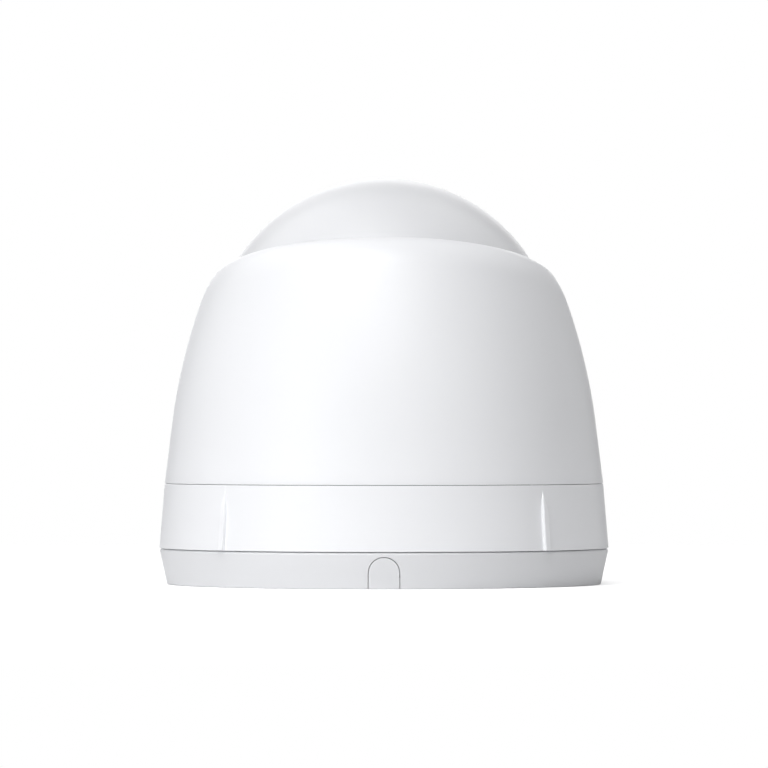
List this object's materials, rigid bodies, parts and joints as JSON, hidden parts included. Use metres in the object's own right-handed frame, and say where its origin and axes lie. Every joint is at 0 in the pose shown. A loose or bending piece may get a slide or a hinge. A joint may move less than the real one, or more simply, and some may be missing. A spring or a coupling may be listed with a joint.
{
  "type": "security camera",
  "caption": "Turret security camera: a lens ball tilts in a panning round housing on a base that twist-locks to a screw-down mounting plate.",
  "frame": {"origin": "centre of the mounting plate's lower face, which lies on the wall, ceiling or table", "axes": "+Z from the plate towards the ball, -Y towards the side that the lens faces, +X completes the right-handed frame"},
  "size_m": [0.1, 0.1, 0.0903],
  "materials": {
    "ring_plastic": "satin",
    "shell_plastic": "satin",
    "ball_plastic": "satin",
    "inner_plastic": "fine moulded texture",
    "seal_rubber": "matt",
    "fastener_steel": "plain",
    "board_green": "solder mask",
    "part_black": "matt",
    "jack_metal": "pressed sheet",
    "contact_gold": "plated",
    "coil_copper": "enamelled winding",
    "button_grey": "matt",
    "window_black": "polished",
    "clear_glass": "coated",
    "lamp_clear": "clear resin",
    "pad_blue": "soft",
    "heat_aluminium": "milled"
  },
  "bodies": {
    "mount": {"mounting_plate": "ring_plastic", "cable_exit_tab": "ring_plastic", "wall_seal": "seal_rubber"},
    "base": {"base_shell": "shell_plastic", "bottom_cover": "inner_plastic", "cover_seal": "seal_rubber", "cover_screws": "fastener_steel", "main_board": "board_green", "power_parts": "part_black", "board_screws": "fastener_steel", "network_jack": "jack_metal", "jack_contacts": "contact_gold", "jack_boot": "seal_rubber", "reset_switch": "part_black"},
    "reset": {"reset_button": "button_grey"},
    "housing": {"housing_shell": "shell_plastic", "turntable": "inner_plastic", "housing_screws": "fastener_steel", "pan_retainer": "inner_plastic", "pan_washer": "seal_rubber", "retainer_screws": "fastener_steel", "ball_seat": "seal_rubber", "rim_wiper": "seal_rubber"},
    "ball": {"ball_shell": "ball_plastic", "tilt_pins": "fastener_steel", "ball_cover": "inner_plastic", "ball_cover_seal": "seal_rubber", "ball_cover_screws": "fastener_steel", "cable_grommet": "seal_rubber", "head_ring": "inner_plastic", "head_ring_screws": "fastener_steel"},
    "head": {"head_carrier": "inner_plastic", "front_bezel": "ball_plastic", "front_window": "window_black", "window_seal": "seal_rubber", "led_board": "board_green", "infrared_leds": "lamp_clear", "light_sensor": "lamp_clear", "microphone": "jack_metal", "lens_shade": "seal_rubber", "lens_barrel": "part_black", "lens_front_element": "clear_glass", "lens_rear_element": "clear_glass", "lens_holder": "inner_plastic", "sensor_board": "board_green", "image_sensor": "part_black", "filter_coil": "coil_copper", "thermal_pad": "pad_blue", "heat_sink": "heat_aluminium", "sensor_screws": "fastener_steel"},
    "filter": {"filter_frame": "part_black", "filter_glasses": "clear_glass"}
  },
  "joints": [
    {"name": "twist_lock", "type": "hinge", "parent": "mount", "child": "base", "pos_m": [0, 0, 0.008], "axis": [0, 0, 1], "range_deg": [0, 28]},
    {"name": "pan", "type": "hinge", "parent": "base", "child": "housing", "pos_m": [0, 0, 0.0224], "axis": [0, 0, 1], "range_deg": [-175, 175]},
    {"name": "tilt", "type": "hinge", "parent": "housing", "child": "ball", "pos_m": [0, 0, 0.0518], "axis": [1, 0, 0], "range_deg": [-40, 25]},
    {"name": "roll", "type": "hinge", "parent": "ball", "child": "head", "pos_m": [0, 0, 0.0518], "axis": [0, -0.6428, 0.766], "range_deg": [-175, 175]},
    {"name": "filter_shift", "type": "slide", "parent": "head", "child": "filter", "axis": [1, 0, 0], "range_m": [0, 0.007]},
    {"name": "reset_press", "type": "slide", "parent": "base", "child": "reset", "axis": [0, 0, 1], "range_m": [0, 0.0008], "stiffness_N_per_m": 500, "springref_m": -0.0004}
  ]
}
